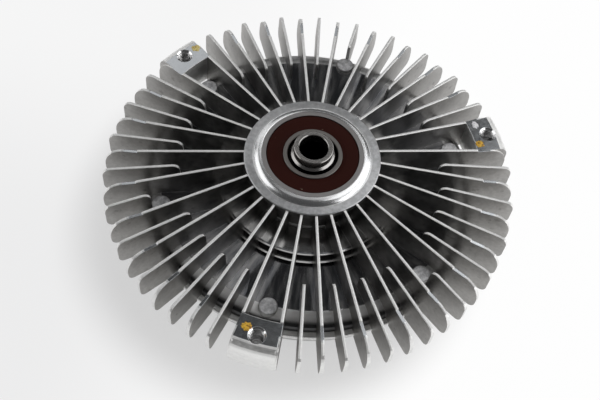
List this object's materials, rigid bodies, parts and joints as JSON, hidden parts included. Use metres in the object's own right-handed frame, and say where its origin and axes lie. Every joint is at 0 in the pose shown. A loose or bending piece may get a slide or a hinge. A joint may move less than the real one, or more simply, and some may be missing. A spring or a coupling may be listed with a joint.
{
  "type": "viscous fan clutch",
  "caption": "Finned viscous fan clutch: a light-alloy casing that carries the fan turns on a sealed ball bearing around a hollow shaft, with rotor and bimetal valve inside.",
  "frame": {"origin": "on the clutch axis, on the plane the front fins rest on", "axes": "+Z along the clutch axis towards the engine side, the way the shaft spigot points; one fan pad lies at -Y"},
  "size_m": [0.208, 0.208, 0.0616],
  "materials": {
    "cast_aluminium": "bead-blasted casting with machined lands",
    "turned_aluminium": "turned",
    "bearing_steel": "ground and polished",
    "shaft_steel": "turned",
    "zinc_steel": "zinc plated",
    "sheet_steel": "rolled sheet",
    "spring_steel": "tempered",
    "bimetal": "rolled",
    "brown_rubber": "moulded",
    "black_rubber": "moulded",
    "cage_polymer": "moulded"
  },
  "bodies": {
    "casing": {"rear_housing": "cast_aluminium", "front_cover": "cast_aluminium", "cover_seal": "black_rubber", "cover_screws": "zinc_steel", "bearing_outer_ring": "bearing_steel", "bearing_seal_rear": "brown_rubber", "bearing_seal_front": "brown_rubber", "divider_plate": "sheet_steel", "plate_screws": "zinc_steel", "wiper_block": "sheet_steel", "wiper_rivets": "zinc_steel", "leaf_rivets": "zinc_steel", "pin_seal": "black_rubber", "bimetal_strip": "bimetal", "strip_brackets": "zinc_steel", "bracket_rivets": "zinc_steel", "front_seal_case": "zinc_steel", "front_seal_lip": "black_rubber"},
    "shaft": {"input_shaft": "shaft_steel", "bearing_inner_ring": "bearing_steel", "rotor": "turned_aluminium", "rotor_snap_ring": "spring_steel"},
    "cage": {"bearing_balls": "bearing_steel", "bearing_cage": "cage_polymer"},
    "pin": {"control_pin": "spring_steel"},
    "leaf": {"valve_leaf": "spring_steel"}
  },
  "joints": [
    {"name": "shaft_spin", "type": "hinge", "parent": "casing", "child": "shaft", "pos_m": [0, 0, 0.04], "axis": [0, 0, 1], "continuous": true},
    {"name": "cage_spin", "type": "hinge", "parent": "casing", "child": "cage", "pos_m": [0, 0, 0.0487], "axis": [0, 0, 1], "continuous": true},
    {"name": "pin_slide", "type": "slide", "parent": "casing", "child": "pin", "axis": [0, 0, -1], "range_m": [0, 0.0012], "deforming": ["bimetal_strip"]},
    {"name": "leaf_hinge", "type": "hinge", "parent": "casing", "child": "leaf", "pos_m": [-0.023, 0.034, 0.018], "axis": [0, 1, 0], "range_deg": [0, 3]}
  ],
  "couplings": [
    {"joint": "cage_spin", "follows": "shaft_spin", "ratio": 0.3969},
    {"joint": "leaf_hinge", "follows": "pin_slide", "rad_per_m": 43.478}
  ]
}
